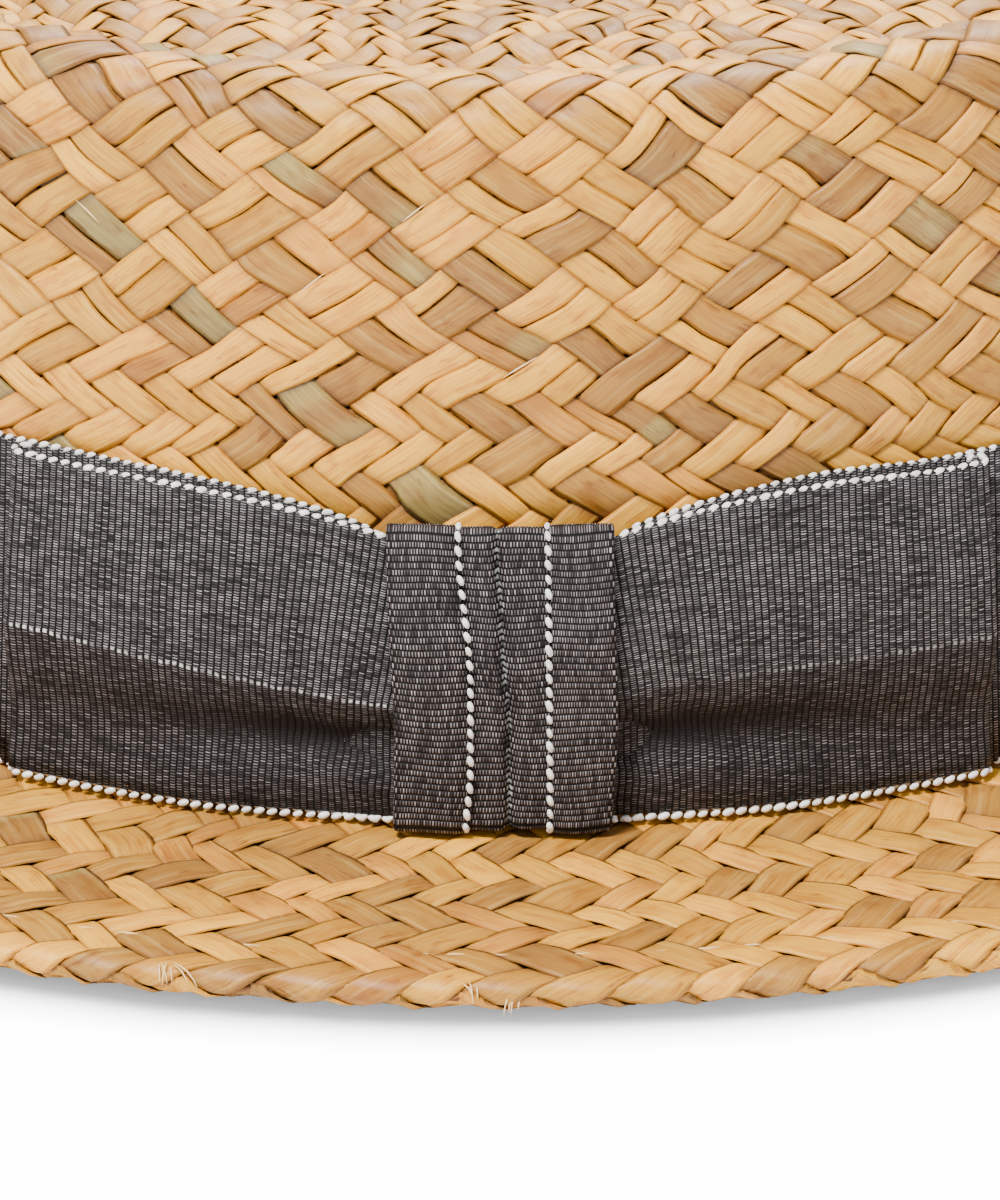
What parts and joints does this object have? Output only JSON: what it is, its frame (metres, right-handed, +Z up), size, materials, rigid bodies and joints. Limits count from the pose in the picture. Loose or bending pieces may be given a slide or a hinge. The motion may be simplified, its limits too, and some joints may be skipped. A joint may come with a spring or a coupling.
{
  "type": "boater hat",
  "caption": "Stiff plaited-straw hat with a flat-topped oval crown, a level hemmed brim, a ribbon band and a flat ribbon bow with a folded knot.",
  "frame": {"origin": "on the resting surface, under the middle of the oval crown", "axes": "+Z up, +X along the long axis of the oval, -Y towards the bow"},
  "size_m": [0.29, 0.256, 0.0879],
  "materials": {
    "plaited_straw": "natural golden plaited straw, slightly glossy",
    "band_ribbon": "charcoal ribbed ribbon with white looped edges",
    "bow_ribbon": "charcoal ribbed ribbon with white looped edges",
    "knot_ribbon": "charcoal ribbed ribbon with white looped edges"
  },
  "bodies": {
    "root": {"straw_body": "plaited_straw", "ribbon_band": "band_ribbon", "bow_loops": "bow_ribbon", "bow_knot": "knot_ribbon"}
  },
  "joints": []
}
